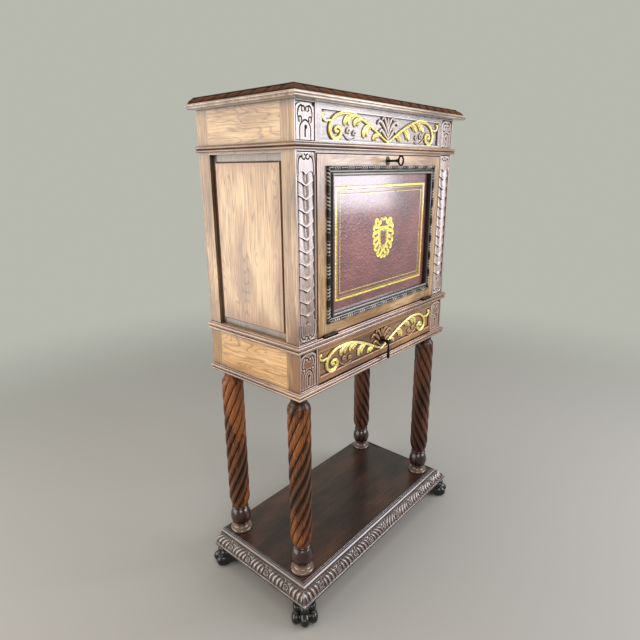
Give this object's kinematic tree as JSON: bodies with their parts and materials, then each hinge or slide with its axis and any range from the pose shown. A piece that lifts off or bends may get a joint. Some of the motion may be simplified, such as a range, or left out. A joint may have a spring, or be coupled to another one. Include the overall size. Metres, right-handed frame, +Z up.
{
  "type": "vargueno",
  "caption": "Fall-front writing chest with a gilded frieze and one drawer, on rope-twist columns and a moulded platform with paw feet.",
  "frame": {"origin": "on the floor, at the centre of the platform", "axes": "+Z up, the front faces -Y, +X to the right as seen from the front"},
  "size_m": [0.882, 0.448, 1.448],
  "materials": {
    "walnut": "satin wax",
    "carved_walnut": "satin wax over carving",
    "dark_walnut": "semi-gloss",
    "ebonised_wood": "gloss",
    "secondary_wood": "bare",
    "tooled_leather": "satin, gold tooled",
    "aged_brass": "aged",
    "black_iron": "blackened"
  },
  "bodies": {
    "case": {"foot_front_left": "ebonised_wood", "foot_front_right": "ebonised_wood", "foot_back_left": "ebonised_wood", "foot_back_right": "ebonised_wood", "platform_board": "dark_walnut", "platform_back_rail": "dark_walnut", "platform_corner_blocks": "secondary_wood", "platform_moulding_front": "dark_walnut", "platform_moulding_sides": "dark_walnut", "leg_front_left": "dark_walnut", "leg_front_right": "dark_walnut", "leg_back_left": "dark_walnut", "leg_back_right": "dark_walnut", "case_bottom_board": "walnut", "bottom_moulding_front": "walnut", "bottom_moulding_sides": "walnut", "post_front_left": "carved_walnut", "post_front_right": "carved_walnut", "post_back_left": "walnut", "post_back_right": "walnut", "lower_side_boards": "walnut", "side_panel_left": "walnut", "side_panel_right": "walnut", "upper_side_boards": "walnut", "case_floor_board": "walnut", "waist_moulding_front": "walnut", "waist_moulding_sides": "walnut", "middle_moulding_front": "walnut", "middle_moulding_sides": "walnut", "front_top_rail": "walnut", "strike_plate": "aged_brass", "frieze_panel": "carved_walnut", "ceiling_board": "secondary_wood", "back_panel": "secondary_wood", "top_board": "walnut", "shelf": "secondary_wood", "shelf_cleats": "secondary_wood", "hinge_case_leaves": "black_iron", "hinge_pins": "black_iron", "stay_guides": "aged_brass", "drawer_runners": "secondary_wood", "drawer_kickers": "secondary_wood"},
    "fall_front": {"door_stiles": "walnut", "door_bottom_rail": "walnut", "door_top_rail": "walnut", "door_panel": "secondary_wood", "door_leather": "tooled_leather", "door_mouldings": "carved_walnut", "hinge_door_leaves": "black_iron", "quadrant_stays": "aged_brass", "lock_case": "aged_brass", "key_escutcheon": "aged_brass"},
    "lock_bolt": {"lock_bolt": "black_iron"},
    "key": {"key": "black_iron"},
    "drawer": {"drawer_front": "carved_walnut", "drawer_sides": "secondary_wood", "drawer_bottom": "secondary_wood", "drawer_back": "secondary_wood", "drawer_pull_post": "black_iron"},
    "drawer_pull": {"drawer_pull_drop": "black_iron"}
  },
  "joints": [
    {"name": "fall_front_hinge", "type": "hinge", "parent": "case", "child": "fall_front", "pos_m": [0, -0.1623, 0.84235], "axis": [1, 0, 0], "range_deg": [0, 90]},
    {"name": "drawer_slide", "type": "slide", "parent": "case", "child": "drawer", "axis": [0, -1, 0], "range_m": [0, 0.23]},
    {"name": "drawer_pull_hinge", "type": "hinge", "parent": "drawer", "child": "drawer_pull", "pos_m": [0, -0.182, 0.758], "axis": [1, 0, 0], "range_deg": [-100, 9]},
    {"name": "key_turn", "type": "hinge", "parent": "fall_front", "child": "key", "pos_m": [0, -0.158, 1.288], "axis": [0, 1, 0], "range_deg": [0, 90]},
    {"name": "lock_bolt_slide", "type": "slide", "parent": "fall_front", "child": "lock_bolt", "axis": [0, 0, 1], "range_m": [0, 0.008]}
  ],
  "couplings": [
    {"joint": "key_turn", "follows": "lock_bolt_slide", "rad_per_m": 196.3}
  ]
}
